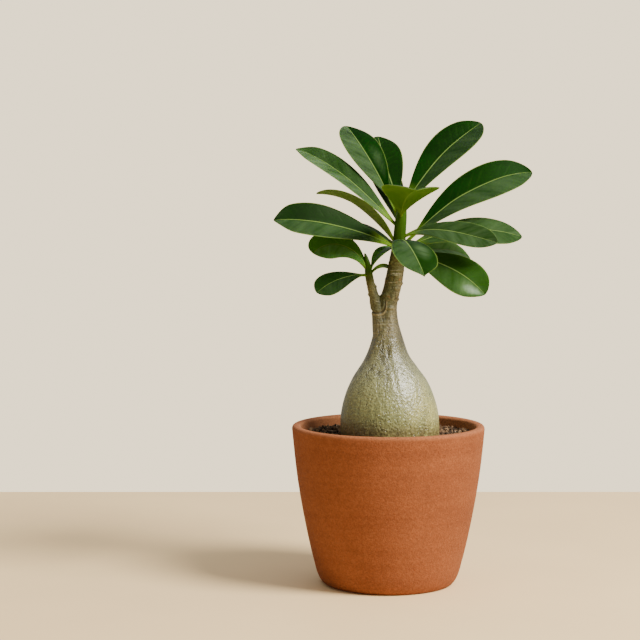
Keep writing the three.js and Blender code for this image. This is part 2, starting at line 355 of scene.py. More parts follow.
potValues = {
    "sides": 144,
    # the outline as (radius, height) in millimetres: the underside, then curves up the wall, over the lip
    # and down inside, each with its corner, its end and a factor on its steps, and last the inner floor
    "underside": [(4, 0), (20, 0), (38.5, 0)],
    "curves": [((43.2, 0), (45.9, 12.5), 1), ((55.9, 50), (60, 96.6), 2), ((60, 99), (57.6, 99), 1),
               ((54.4, 99), (54.4, 96.6), 1), ((50.3, 50), (40.8, 22.7), 2), ((38.8, 8), (30, 8), 1)],
    "innerFloor": [(12, 8), (4, 8)],
    "curveSteps": 10,
    "drainRadius": 4,
    "drainReach": 20,
    "drainTurns": (90, 210, 330),             # degrees
    "clay": (0.262, 0.080, 0.027),
    "clayDark": (0.190, 0.053, 0.017),
    "clayPale": (0.380, 0.142, 0.056),
    "clayInside": (0.320, 0.125, 0.050),
    "pit": (0.22, 0.055, 0.018),
    "unevenness": 0.16,                       # millimetres, as a pressed or thrown pot has
    "unevenFrom": 20,                         # millimetres; it grows from none at the foot to all of it here
}


def potRows():
    spots = [Vector(spot) for spot in potValues["underside"]]
    for corner, end, factor in potValues["curves"]:
        start, corner, end = spots[-1], Vector(corner), Vector(end)
        steps = factor * potValues["curveSteps"]
        for step in range(1, steps + 1):
            t = step / steps
            spots.append(start.lerp(corner, t).lerp(corner.lerp(end, t), t))
    return [(radius, 0, height) for radius, height in [*spots, *potValues["innerFloor"]]]


def potFinish():
    f = Finish("terracotta")
    spot = f.place()
    height = f.axis(spot, "Z")
    mottle = f.cloud(spot, 26, 5, 0.6, 0.4)
    bands = f.cloud(f.place(stretch=(9, 9, 150)), 1, 4, 0.6)
    sand = f.cloud(spot, 1000, 3, 0.75).rises(0.30, 0.70)
    grain = f.cloud(spot, 480, 4, 0.7).rises(0.30, 0.70)
    pits = (1 - f.cells(spot, 330).rises(0.10, 0.26)) * f.cloud(spot, 120, 2).rises(0.50, 0.62)
    inside = f.stored("insideWall")
    # painted highlight: the flat top of the lip, which faces the light from above, is painted paler
    lipHighlight = height.rises(0.0955, 0.0985)
    color = f.mix(potValues["clayDark"], potValues["clay"], (mottle * 0.6 + bands * 0.6).rises(0.25, 0.80))
    color = f.mix(color, potValues["clayPale"], lipHighlight * 0.42)
    color = f.mix(color, potValues["clayPale"], (mottle * 0.3 + grain * 0.7).rises(0.50, 0.95) * 0.16)
    color = f.mix(color, potValues["clayInside"], inside * 0.85)
    color = f.mix(color, potValues["pit"], pits * 0.65)
    color = f.shade(color, sand * 0.34 + grain * 0.10 + 0.76)
    relief = f.bump(grain - pits * 0.9, 0.00020, 0.6)
    relief = f.bump(sand, 0.00012, 0.7, relief)
    return f.dress({"Base Color": color, "Roughness": 0.90 - 0.10 * grain, "Normal": relief},
                   {"Specular IOR Level": 0.22})


pot = turned("potBody", potRows(), potValues["sides"])
for turn in potValues["drainTurns"]:
    angle = math.radians(turn)
    clear()
    bpy.ops.mesh.primitive_cylinder_add(
        vertices=32, radius=potValues["drainRadius"] * mm, depth=0.03,
        location=(potValues["drainReach"] * mm * math.cos(angle),
                  potValues["drainReach"] * mm * math.sin(angle), 0))
    drill = started("drill")
    modify(pot, "BOOLEAN", object=drill, operation="DIFFERENCE", solver="EXACT")
    bpy.data.objects.remove(drill)
for point in pot.data.vertices:
    grown = min(point.co.z / (potValues["unevenFrom"] * mm), 1)
    wave = noise.noise(point.co * 38) * potValues["unevenness"] * mm * grown
    side = Vector((point.co.x, point.co.y, 0)).normalized()
    point.co += side * wave
inside = pot.data.attributes.new("insideWall", "FLOAT", "POINT")
for value, point in zip(inside.data, pot.data.vertices):
    # the wall's inner face looks at the pot's middle
    value.value = 1 if point.normal.dot(Vector((point.co.x, point.co.y, 0)).normalized()) < -0.5 else 0
pot.data.materials.append(potFinish())
done(pot, 40)
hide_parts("pot")


print("stage 3: swollen base and branches")

barkValues = {
    "sides": 72,
    "rowSteps": 3,
    "voxel": 0.56,                            # millimetres; the size of the merged skin's faces
    # height, sideways place and width of each ring, in millimetres
    "trunk": [(42, 1, 4), (46, 1, 16), (54, 1, 31), (66, 1, 45), (78, 1, 55), (90, 0.9, 60.2),
              (100, 0.8, 61.4), (110, 0.7, 59.2), (120, 0.4, 53.3), (128, 0.3, 45.4), (135, -0.1, 36),
              (141, -0.4, 28), (147, -0.5, 22.6), (155, -0.6, 17.8), (165, -1, 13.6), (173, -0.9, 12.3),
              (183, 1.9, 11.3), (190, 3.4, 11), (197, 4.6, 10.2), (204, 5.6, 9.6), (212, 6.5, 8),
              (221, 7.1, 7.6), (229, 7.8, 6.9), (235, 8.6, 4.6), (239, 9, 1.6)],
    "side": [(153, -4, 11), (160, -4.8, 10.4), (166, -5.6, 9.2), (171, -6.7, 8), (176, -8, 7),
             (182, -9.8, 6), (188, -11.4, 5.4), (193, -12.3, 5.2), (197, -12.7, 4.2), (200, -13.2, 3.6),
             (203, -13.9, 2.6), (206, -14.8, 1)],
    "branchForward": 1.6,                     # millimetres; how far the branch starts towards the viewer
    "branchBack": (186, 14),                  # it is back in line at this height, over this much of it
    # height and sideways place of the furrow down the front of the neck, and its groove and ridge
    "furrow": [(110, 7.6), (115, 6.8), (124, 4.3), (140, 0.6), (149, -1.9), (168, -1.9), (172, -1.5)],
    "groove": 0.22,                           # millimetres, as all reliefs are that follow
    "ridge": 0.12,
    "fineSkin": 0.10,
    "oldRings": 0.16,
    "neckFolds": 0.50,
    "collarSwell": 0.45,
    "collarCrease": 0.50,
    "collarWelt": 0.25,
    # the branch's collar: its middle (sideways, height), half width and half height in millimetres
    "collar": (-7.3, 176.2, 4.9, 6.9),
    # height and turn in degrees of each old leaf scar, and its width in millimetres
    "trunkScars": [(172, -70, 5.2), (177, 20, 5), (180, -130, 5), (184, -52, 5.4), (187, -5, 4.6),
                   (190, 140, 5), (192, -100, 4.8), (195, -35, 4.8), (198, 60, 4.6), (200, -150, 4.6),
                   (202, -75, 4.6), (204.5, 0, 4.4)],
    "sideScars": [(176, -60, 3), (180, 170, 3), (183, -110, 3), (185, -20, 3)],
    # colour from the soil, 85 mm up, to the growing tip of the trunk, 240 mm up
    "skin": [(0.00, (0.100, 0.068, 0.022)), (0.05, (0.225, 0.185, 0.060)), (0.14, (0.208, 0.222, 0.078)),
             (0.34, (0.182, 0.184, 0.082)), (0.46, (0.112, 0.110, 0.046)), (0.58, (0.064, 0.066, 0.025)),
             (0.72, (0.058, 0.060, 0.018)), (0.775, (0.066, 0.064, 0.012)), (0.82, (0.020, 0.054, 0.002)),
             (1.00, (0.038, 0.100, 0.003))],
    "lowPale": (0.380, 0.350, 0.110),
    # painted shade for the crevices on the shaded left of the neck
    "creviceShade": (0.045, 0.040, 0.016),
    "pore": (0.080, 0.070, 0.028),
    # painted light for the lit right side of the upper trunk
    "paintedSunlight": (0.240, 0.220, 0.130),
    "branchPale": (0.200, 0.190, 0.095),
    "rust": (0.180, 0.072, 0.022),
    "soiled": (0.085, 0.050, 0.022),
    "wrinkle": (0.360, 0.320, 0.200),
    "welt": (0.330, 0.270, 0.140),
    # painted shade for the crease round the branch's collar
    "creaseShade": (0.020, 0.014, 0.006),
}


def barkRows(rows):
    return [(width / 2, across, height) for height, across, width in smoothRows(rows, barkValues["rowSteps"])]


def ripple(angle, height):
    # how far the stem is out of round there, as a share of its radius
    return (0.010 * (math.sin(3 * angle + 0.02 * height + 0.7) + 0.7 * math.sin(5 * angle - 0.03 * height))
            + 0.004 * math.sin(9 * angle + 0.11 * height))


def middle(rows, height):
    # sideways place and half width of the stem at a height, straight between the rows
    for (low, lowAcross, lowWidth), (high, highAcross, highWidth) in zip(rows, rows[1:]):
        if low <= height <= high:
            share = (height - low) / (high - low)
            return (lowAcross + (highAcross - lowAcross) * share,
                    (lowWidth + (highWidth - lowWidth) * share) / 2)
    raise ValueError(height)


def grownStem(name, rows):
    stem = turned(name, barkRows(rows), barkValues["sides"])
    for point in stem.data.vertices:
        height = min(max(point.co.z / mm, rows[0][0]), rows[-1][0])
        across = middle(rows, height)[0] * mm
        angle = math.atan2(point.co.y, point.co.x - across)
        grow = 1 + ripple(angle, height)
        point.co.x = across + (point.co.x - across) * grow
        point.co.y *= grow
    return stem


def addScars(stem, rows, scars):
    # each old leaf scar is a low flat cushion across the stem, joined to it before the skin is merged
    for height, turn, width in scars:
        across, half = middle(rows, height)
        angle = math.radians(turn)
        clear()
        bpy.ops.mesh.primitive_uv_sphere_add(
            segments=16, ring_count=8, radius=0.5 * mm,
            location=((across + (half - 0.25) * math.cos(angle)) * mm, (half - 0.25) * math.sin(angle) * mm,
                      height * mm),
            rotation=(0, 0, angle))
        cushion = started("scar")
        cushion.scale = (2.0, width, 2.0)
        bpy.ops.object.transform_apply()
        modify(stem, "BOOLEAN", object=cushion, operation="UNION", solver="EXACT")
        bpy.data.objects.remove(cushion)


def barkFinish():
    f = Finish("bark")
    spot = f.place()
    height = f.axis(spot, "Z")
    side = f.axis(spot, "X")

    # patterns, from wide to fine
    wide = f.cloud(f.place(stretch=(90, 90, 22)), 1, 4, 0.6)
    wrinkle = f.cloud(f.place(stretch=(70, 70, 900)), 1, 3, 0.6, 0.3)
    streak = f.cloud(f.place(stretch=(420, 420, 42)), 1, 3, 0.6)
    fleck = f.cloud(spot, 330, 3, 0.7)
    speck = f.cloud(spot, 820, 3, 0.7)
    pebble = (1 - f.cells(f.place(stretch=(1, 1, 0.75)), 640)).rises(0.30, 0.95)
    pores = (1 - f.cells(spot, 560).rises(0.16, 0.34)) * f.cloud(spot, 170, 2).rises(0.46, 0.60)

    # places: the branch, the brown wood below the green tips, the old wood above the base and so on
    onBranch = (1 - side.rises(-0.0100, -0.0060)) * height.rises(0.168, 0.174)
    level = height + 0.018 * onBranch + 0.004 * (f.cloud(spot, 130, 3) - 0.5)
    woody = 1 - level.rises(0.203, 0.209)
    upper = height.rises(0.150, 0.172) * woody
    lowRight = (side.rises(0.004, 0.024) * (1 - height.rises(0.104, 0.136))
                * f.cloud(spot, 60, 3).rises(0.30, 0.62))
    # painted shade: the neck's crevices on its shaded left side are painted darker; the same mask deepens
    # them in the relief
    creviceShade = (f.cloud(f.place(stretch=(300, 300, 60)), 1, 4, 0.65).rises(0.48, 0.60)
               * height.rises(0.118, 0.135) * (1 - height.rises(0.162, 0.174))
               * (1 - side.rises(-0.001, 0.003)))
    # painted light: the right side of the upper trunk, where the lamp falls, is painted paler in patches
    paintedSunlight = ((side - (height - 0.173) * 0.25).rises(-0.0005, 0.0040) * height.rises(0.148, 0.160)
             * (1 - height.rises(0.190, 0.200)) * fleck.rises(0.25, 0.60))
    rust = f.cloud(spot, 210, 4, 0.7).rises(0.56, 0.68) * upper * height.rises(0.174, 0.182)
    soiled = (1 - height.rises(0.092, 0.106)) * fleck.rises(0.38, 0.54)
    across, middleHeight, halfWidth, halfHeight = barkValues["collar"]
    off = (abs((side - across * mm) / (halfWidth * mm)) ** 3
           + abs((height - middleHeight * mm) / (halfHeight * mm)) ** 3) ** (1 / 3) - 1
    front = (1 - f.axis(spot, "Y").rises(0.0005, 0.0025)) * (1 - height.rises(0.1755, 0.1775))
    # painted shade: the crease round the branch's collar is painted dark
    creaseShade = (1 - abs(off - 0.03).rises(0.03, 0.11)) * front
    welt = (1 - abs(off - 0.22).rises(0.02, 0.12)) * front

    color = f.ramp((level - 0.085) / 0.155, barkValues["skin"])
    color = f.mix(color, barkValues["lowPale"], lowRight * 0.7)
    color = f.mix(color, barkValues["creviceShade"], creviceShade * 0.6)
    color = f.mix(color, barkValues["pore"], pores * woody * 0.55)
    color = f.mix(color, barkValues["paintedSunlight"], paintedSunlight * 0.60)
    color = f.mix(color, barkValues["branchPale"], onBranch * (1 - height.rises(0.183, 0.190)) * 0.40)
    color = f.mix(color, barkValues["rust"], rust * 0.65)
    color = f.mix(color, barkValues["soiled"], soiled * 0.75)
    color = f.mix(color, barkValues["wrinkle"], wrinkle.rises(0.60, 0.70) * upper * 0.45)
    grainy = speck.rises(0.30, 0.70) * 0.80 + streak.rises(0.3, 0.7) * 0.30 + wide * 0.50
    color = f.shade(color, (grainy + 0.22) * woody + (streak * 1.4 + 0.3) * (1 - woody))
    color = f.mix(color, barkValues["welt"], welt * 0.55)
    color = f.mix(color, barkValues["creaseShade"], creaseShade * 0.65)

    relief = f.bump(wide * 0.5 + streak * 0.5, 0.0009, 0.5)
    relief = f.bump(wrinkle * upper - creviceShade * 0.6, 0.0008, 0.7, relief)
    relief = f.bump((fleck * 0.8 + speck * 0.8 - pores * 0.7) * woody, 0.0006, 0.6, relief)
    relief = f.bump(pebble * woody * (1 - upper * 0.6), 0.00018, 0.9, relief)
    rough = 0.30 - 0.10 * streak + 0.14 * speck + 0.20 * upper
    f.dress({"Base Color": color, "Roughness": rough, "Normal": relief}, {"Specular IOR Level": 1.0})
    return f.duller((height + 0.012 * onBranch).rises(0.152, 0.180), {"Specular IOR Level": 0.16})


def bell(off, middlePlace, width):
    # 1 at the place, and smoothly 0 away from it
    return math.exp(-((off - middlePlace) / width) ** 2)


def furrowDepth(x, y, z):
    # a groove with a low ridge beside it, down the front of the neck, in millimetres
    for (low, start), (high, end) in zip(barkValues["furrow"], barkValues["furrow"][1:]):
        if y < 0 and low <= z < high:
            off = x - start - (end - start) * (z - low) / (high - low)
            fade = min((z - 110) / 20, (172 - z) / 6, 1)
            return fade * (barkValues["ridge"] * bell(off, 3, 2) - barkValues["groove"] * bell(off, 0, 1.1))
    return 0


def collarDepth(x, y, z):
    # the side branch ends in a low collar, with a crease round it, in millimetres
    across, height, wide, high = barkValues["collar"]
    off = (abs((x - across) / wide) ** 3 + abs((z - height) / high) ** 3) ** (1 / 3) - 1
    near = min(max((3 - y) / 3, 0), 1) * min(max((178 - z) / 3, 0), 1)
    return near * (barkValues["collarSwell"] * bell(off, -0.16, 0.14)
                   - barkValues["collarCrease"] * bell(off, 0.03, 0.08)
                   + barkValues["collarWelt"] * bell(off, 0.20, 0.10))


def skinDepth(x, y, z):
    # fine uneven skin, with coarse rings on the old wood and lengthwise folds on the neck, in millimetres
    old = max(0, 1 - abs(z - 185) / 35)
    neck = max(0, 1 - abs(z - 146) / 30)
    return (noise.noise(Vector((x * 0.26, y * 0.26, z * 0.09))) * barkValues["fineSkin"]
            + noise.noise(Vector((x * 0.12, y * 0.12, z * 0.70))) * barkValues["oldRings"] * old
            + noise.noise(Vector((x * 0.21, y * 0.21, z * 0.016))) * barkValues["neckFolds"] * neck)


trunk = grownStem("caudexAndBranches", barkValues["trunk"])
branch = grownStem("branch", barkValues["side"])
backAt, backOver = barkValues["branchBack"]
for point in branch.data.vertices:
    # the branch grew out of the trunk's near side
    point.co.y -= barkValues["branchForward"] * mm * min(max((backAt - point.co.z / mm) / backOver, 0), 1)
addScars(trunk, barkValues["trunk"], barkValues["trunkScars"])
addScars(branch, barkValues["side"], barkValues["sideScars"])
modify(trunk, "BOOLEAN", object=branch, operation="UNION", solver="EXACT")
bpy.data.objects.remove(branch)
modify(trunk, "REMESH", mode="VOXEL", voxel_size=barkValues["voxel"] * mm)
modify(trunk, "SMOOTH", factor=0.5, iterations=4)
facing = [point.normal.copy() for point in trunk.data.vertices]
for point, outward in zip(trunk.data.vertices, facing):
    x, y, z = point.co / mm
    point.co += outward * (skinDepth(x, y, z) + furrowDepth(x, y, z) + collarDepth(x, y, z)) * mm
trunk.data.materials.append(barkFinish())
done(trunk)
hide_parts("caudex_and_branches")


print("stage 4: soil, crumbs and grit")

soilValues = {
    "sides": 288,
    "rings": 30,
    "height": 92,
    "clods": 0.7,                             # millimetres; how high the large, middle and small lumps are
    "lumps": 0.75,
    "smallLumps": 0.45,
    # the outline as (radius, height) in millimetres: up the hole for the root, and down the pot's wall
    "rootHole": [(3.2, 41.5), (9, 44.6), (16.3, 53.4), (23.3, 65.5), (28.3, 77.5), (30.9, 88)],
    "top": (31.2, 53.7),                      # inner and outer radius
    "outside": [(53.3, 86), (51.5, 66), (48.4, 44), (44.5, 30), (40.4, 22.6), (37.5, 13), (30, 8.4),
                (4, 8.4)],
    "dark": (0.040, 0.022, 0.011),
    "brown": (0.180, 0.100, 0.048),
    "crumb": dict(count=1500, sizes=(0.9, 3.4), subdivisions=2,
                  shapes=[(1, 1, 0.8), (1.2, 0.8, 0.7), (1, 0.7, 0.6), (1.3, 0.9, 0.5)],
                  tones=[(0.024, 0.014, 0.008), (0.058, 0.032, 0.016), (0.120, 0.064, 0.030),
                         (0.210, 0.125, 0.062)]),
    "grit": dict(count=420, sizes=(0.6, 1.7), subdivisions=1,
                 shapes=[(1, 1, 0.8), (1.2, 0.9, 0.8), (1.4, 0.6, 0.5)],
                 tones=[(0.34, 0.24, 0.15), (0.26, 0.17, 0.10), (0.42, 0.34, 0.25), (0.20, 0.12, 0.07)]),
    "scatterRing": (31.6, 53.2),              # crumbs and grit lie between these radii
    "plantShift": 0.8,                        # millimetres; they lie round the plant, this far to the right
    "seed": 11,
}


def soilTop(x, y):
    # height of the soil in millimetres over a spot in millimetres
    swell = math.sin(0.34 * x + 1.1) * math.sin(0.29 * y + 0.4)
    swell += math.sin(1.3 * x + 0.8 * y) * math.sin(1.1 * y - 0.9 * x + 2)
    return soilValues["height"] + soilValues["clods"] * swell


def banked(reach):
    # how far the soil is raised against the wall of the pot, from 49.5 mm off the middle outwards
    return max(0, (reach - 49.5) / 4)


def soilRows():
    inner, outer = soilValues["top"]
    rings = soilValues["rings"]
    top = [(inner + (outer - inner) * step / rings, soilValues["height"]) for step in range(rings + 1)]
    return [(radius, 0, height) for radius, height in soilValues["rootHole"] + top + soilValues["outside"]]


def soilFinish(name, attribute):
    f = Finish(name)
    spot = f.place()
    clod = f.cloud(spot, 420, 4, 0.7)
    dust = f.cloud(spot, 1400, 2, 0.6)
    color = f.mix(soilValues["dark"], soilValues["brown"], clod.rises(0.42, 0.70))
    if attribute:
        color = f.mix(color, f.stored(attribute, "Color"), 0.85)
    color = f.shade(color, dust * 0.9 + 0.55)
    relief = f.bump(clod + dust * 0.4, 0.0007, 0.8)
    return f.dress({"Base Color": color, "Roughness": 0.98 - 0.2 * dust, "Normal": relief},
                   {"Specular IOR Level": 0.25})


soil = turned("soilBed", soilRows(), soilValues["sides"])
for point in soil.data.vertices:
    if point.co.z / mm > soilValues["height"] - 0.5:
        x, y = point.co.x / mm, point.co.y / mm
        lump = noise.noise(Vector((x * 0.75, y * 0.75, 3))) * soilValues["lumps"]
        lump += noise.noise(Vector((x * 1.9, y * 1.9, 8))) * soilValues["smallLumps"]
        # it lies a little higher against the wall of the pot and against the plant
        reach = math.hypot(x, y)
        edge = banked(reach) * 0.9 + max(0, (34 - reach) / 3) * 0.7
        point.co.z = (soilTop(x, y) + lump + edge) * mm
soil.data.materials.append(soilFinish("soil", None))
done(soil)
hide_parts("soil")


def modelledShapes(kind):
    # a few shapes of this kind, each a ball pushed out of round
    shapes = []
    for number, squeeze in enumerate(kind["shapes"]):
        clear()
        bpy.ops.mesh.primitive_ico_sphere_add(subdivisions=kind["subdivisions"], radius=0.5 * mm)
        crumb = started("crumb")
        bpy.ops.object.mode_set(mode="EDIT")
        bpy.ops.mesh.select_all(action="SELECT")
        bpy.ops.transform.vertex_random(offset=0.14 * mm, seed=number + 3)
        bpy.ops.transform.resize(value=squeeze)
        bpy.ops.object.mode_set(mode="OBJECT")
        shapes.append(crumb)
    return shapes


def scattered(name, kind, seed):
    # copies of the shapes over the soil, each with its own turn, size and tone, in one mesh
    shapes = modelledShapes(kind)
    draw = random.Random(seed)
    innermost, outermost = soilValues["scatterRing"]
    shift = soilValues["plantShift"]
    mesh = bmesh.new()
    tones = []
    for copy in range(kind["count"]):
        turn = draw.uniform(0, 2 * math.pi)
        reach = math.sqrt(draw.uniform(innermost ** 2, outermost ** 2))
        size = draw.uniform(*kind["sizes"]) * draw.uniform(0.7, 1)
        # none reaches into the pot's wall
        reach = min(reach, outermost + 0.2 - size / 2)
        x, y = shift + reach * math.cos(turn), reach * math.sin(turn)
        if math.hypot(x, y) + size / 2 > outermost + 0.4:
            x -= shift
        height = soilTop(x, y) + size * draw.uniform(0.05, 0.35) + banked(reach) * 0.8
        tumble = Euler([draw.uniform(0, 6.3) for letter in "xyz"]).to_matrix().to_4x4()
        place = Matrix.Translation(Vector((x, y, height)) * mm) @ tumble @ Matrix.Scale(size, 4)
        before = len(mesh.verts)
        mesh.from_mesh(draw.choice(shapes).data)
        mesh.verts.ensure_lookup_table()
        for point in mesh.verts[before:]:
            point.co = place @ point.co
        tone = draw.choice(kind["tones"])
        light = draw.uniform(0.7, 1.25)
        tones += [[*(light * part for part in tone), 1]] * (len(mesh.verts) - before)
    data = bpy.data.meshes.new(name)
    mesh.to_mesh(data)
    mesh.free()
    own = data.color_attributes.new("crumbTone", "FLOAT_COLOR", "POINT")
    for value, tone in zip(own.data, tones):
        value.color = tone
    piece = bpy.data.objects.new(name, data)
    bpy.context.scene.collection.objects.link(piece)
    for shape in shapes:
        bpy.data.objects.remove(shape)
    return piece


crumbs = scattered("soilCrumbs", soilValues["crumb"], soilValues["seed"])
crumbs.data.materials.append(soilFinish("soilCrumb", "crumbTone"))
done(crumbs, 50)

grit = scattered("soilGrit", soilValues["grit"], soilValues["seed"] + 1)
grit.data.materials.append(soilFinish("soilGrit", "crumbTone"))
done(grit, 30)


print("stage 5: leaves")

leafValues = {
    "rows": 36,
    "strips": 10,
    "tipCrowding": 1.4,                       # rows lie closer together towards the tip
    "stalkHalf": 1.15,                        # half width of a leaf stalk, in millimetres
    "sideStalkHalf": 0.9,
    "thicknessHalf": 0.42,                    # of the blade, in millimetres
    "footThicker": 0.62,                      # this much more at the stalk's foot
    "edgeThinner": 0.45,                      # share of the thickness that the edges lack
    "tipFrom": 0.86,                          # share of the length where the tip starts to narrow
    "green": (0.0004, 0.012, 0.0001),
    "greenLight": (0.0016, 0.027, 0.0002),
    "greenPale": (0.016, 0.052, 0.003),
    # painted sheen colour for the halves that face up more
    "paintedSheenGreen": (0.068, 0.122, 0.048),
    # painted glint colour, where the painted sheen goes past 1
    "paintedGlint": (0.210, 0.290, 0.200),
    "olive": (0.036, 0.125, 0.002),
    "oliveLight": (0.070, 0.170, 0.012),
    "underGreen": (0.010, 0.105, 0.006),
    "underLight": (0.030, 0.165, 0.020),
    # painted sheen colour for the undersides
    "paintedSheenUnder": (0.110, 0.150, 0.060),
    "vein": (0.035, 0.110, 0.010),
    "rib": (0.150, 0.235, 0.055),
    "ribShadow": (0.003, 0.018, 0.001),
    "margin": (0.140, 0.220, 0.040),
    "stalk": (0.130, 0.240, 0.016),
    "foldRelief": 0.0010,
    "wave": 0.45,                             # millimetres; how far the blades stray from an even curve
    "waveSeed": 5,                            # a whole number above 0, since 0 is new waves on each run
}

# Sizes are in millimetres and angles in degrees. Shape: root is the height of the stalk's foot; heading is
# anticlockwise from the viewer's right and rise is above level, both at foot, middle and tip; roll is about
# the leaf's length, at foot and tip; fold lifts both halves and cup bends their edges back; stalk is its
# bare length; a small rounding makes a blunt tip and a large point a narrow one; side is the side branch.
# Looks: tone goes from 0 deep green to 1 pale, partly the leaf's own colour and partly painted sheen, paints
# light onto a leaf in shade above 1 and is -1 on a young one; paintedLight is painted sheen, how pale the
# half that faces up more is, as if it reflected the bright sky, and the other half, with painted shade below
# 0;
# paintedShine is one more painted highlight patch, as its place along the leaf, its place across it and its
# strength, which paints a glint past a paintedLight of 1.
usualLeaf = dict(stalk=6, rounding=0.55, point=0.25, side=False, paintedShine=(0.5, 0.5, 0))
leaves = {
    "leaf_upper_left": dict(
        root=220.5, length=84, width=22.5, heading=(166, 166, 166), rise=(44, 39, 20), roll=(-26, -26),
        fold=15, cup=8, point=0.6, paintedLight=(1, 0.30), tone=0.45),
    "leaf_top_left": dict(
        root=226, length=78, width=25, heading=(138, 133, 123.5), rise=(56, 52, 34), roll=(-50, 3),
        fold=9, cup=8, stalk=18, paintedLight=(0.68, -0.1), paintedShine=(0.45, 0.25, 0.5), tone=0),
    "leaf_top_centre": dict(
        root=231, length=70, width=24.5, heading=(114, 105, 98), rise=(46, 45, 34), roll=(0, 0),
        fold=4, cup=8, stalk=10, paintedLight=(0.05, 0), tone=0.1),
    "leaf_front_upturned": dict(
        root=225.5, length=56, width=35, heading=(-88, -83, -78), rise=(49, 15, 12), roll=(-3, -3),
        fold=32, cup=36, rounding=0.42, paintedLight=(0.2, 0.2), tone=0.9),
    "leaf_top_right": dict(
        root=230, length=85, width=25, heading=(33, 33, 33), rise=(60, 42, 29), roll=(34, 34),
        fold=15, cup=8, paintedLight=(0.3, 0), tone=0.05),
    "leaf_right_long": dict(
        root=207, length=103, width=26, heading=(15, 15, 15), rise=(46, 31, 3), roll=(50, 50),
        fold=14, cup=8, stalk=16, paintedLight=(0.45, 0), tone=0.05),
    "leaf_right_front": dict(
        root=214, length=66, width=18, heading=(-26, -26, -26), rise=(34, -7, -11), roll=(43, 43),
        fold=8, cup=8, paintedLight=(0.60, 0.50), tone=0.55),
    "leaf_right_low": dict(
        root=205, length=84, width=19, heading=(9, 13, 13), rise=(34, 7, -18), roll=(52, 52),
        fold=-2, cup=5, stalk=10, paintedLight=(0.45, 0.35), tone=0.5),
    "leaf_front_drooping": dict(
        root=212, length=58, width=26, heading=(-84, -76, -60), rise=(15, -20, -52), roll=(0, 0),
        fold=8, cup=10, point=1, paintedLight=(-0.15, 0.40), paintedShine=(0.50, 0.72, 1.1), tone=0.3),
    "leaf_lower_right": dict(
        root=205, length=66, width=25, heading=(-31, -32, -33), rise=(-2, -20, -44), roll=(45, 45),
        fold=-4, cup=0, paintedLight=(0.10, 0.25), paintedShine=(0.80, 0.30, 1.9), tone=1.08),
    "leaf_middle_right": dict(
        root=204.5, length=57, width=18, heading=(32, 32, 32), rise=(5, 1, -32), roll=(40, 40),
        fold=8, cup=8, paintedLight=(0.45, 0.35), tone=1.6),
    "leaf_left_broad": dict(
        root=208, length=82, width=25, heading=(-167, -167, -167), rise=(26, 14, -4), roll=(-51, -51),
        fold=14, cup=8, point=0.6, paintedLight=(0.48, -0.42), tone=0.2),
    "leaf_left_arching": dict(
        root=208, length=65, width=24, heading=(172, 172, 172), rise=(62, 35, 1), roll=(36, 4),
        fold=15, cup=10, paintedLight=(1, 0.9), tone=0.7),
    "leaf_back_upright": dict(
        root=221, length=58, width=19, heading=(105, 105, 105), rise=(50, 42, 25), roll=(0, 0),
        fold=12, cup=8, paintedLight=(0.2, 0.1), tone=0.3),
    "leaf_back_low": dict(
        root=206, length=54, width=19, heading=(72, 70, 68), rise=(12, -4, -22), roll=(0, 0),
        fold=10, cup=8, paintedLight=(0.4, 0.3), tone=0.5),
    "leaf_back_left": dict(
        root=209.5, length=60, width=19, heading=(136, 138, 140), rise=(22, 13, -6), roll=(-10, -10),
        fold=10, cup=8, paintedLight=(0.3, 0.2), tone=0.4),
    "side_leaf_left": dict(
        root=191, length=47, width=22.5, heading=(-168, -168, -168), rise=(72, 27, -51), roll=(-47, -47),
        fold=0, cup=0, rounding=0.45, point=0, side=True, paintedLight=(0.3, 0.05), tone=1.6),
    "side_leaf_back": dict(
        root=192, length=37, width=13, heading=(132, 132, 132), rise=(52, 42, 34), roll=(-5, -5),
        fold=5, cup=8, side=True, paintedLight=(0.3, 0.1), tone=0.6),
    "side_leaf_lower_left": dict(
        root=192, length=39, width=16, heading=(-150, -152, -153), rise=(6, -15, -38), roll=(-42, -42),
        fold=5, cup=10, rounding=0.5, side=True, paintedLight=(0.35, 0.1), tone=0.3),
    "side_leaf_right": dict(
        root=192, length=27, width=12.5, heading=(32, 32, 32), rise=(80, 45, 0), roll=(5, 5),
        fold=8, cup=8, side=True, paintedLight=(0.1, 0.1), tone=1.7),
    "side_leaf_young": dict(
        root=191.4, length=19, width=4, heading=(4, 4, 4), rise=(66, 12, -72), roll=(30, 30),
        fold=8, cup=8, stalk=2, side=True, paintedLight=(0, 0), tone=-1),
}


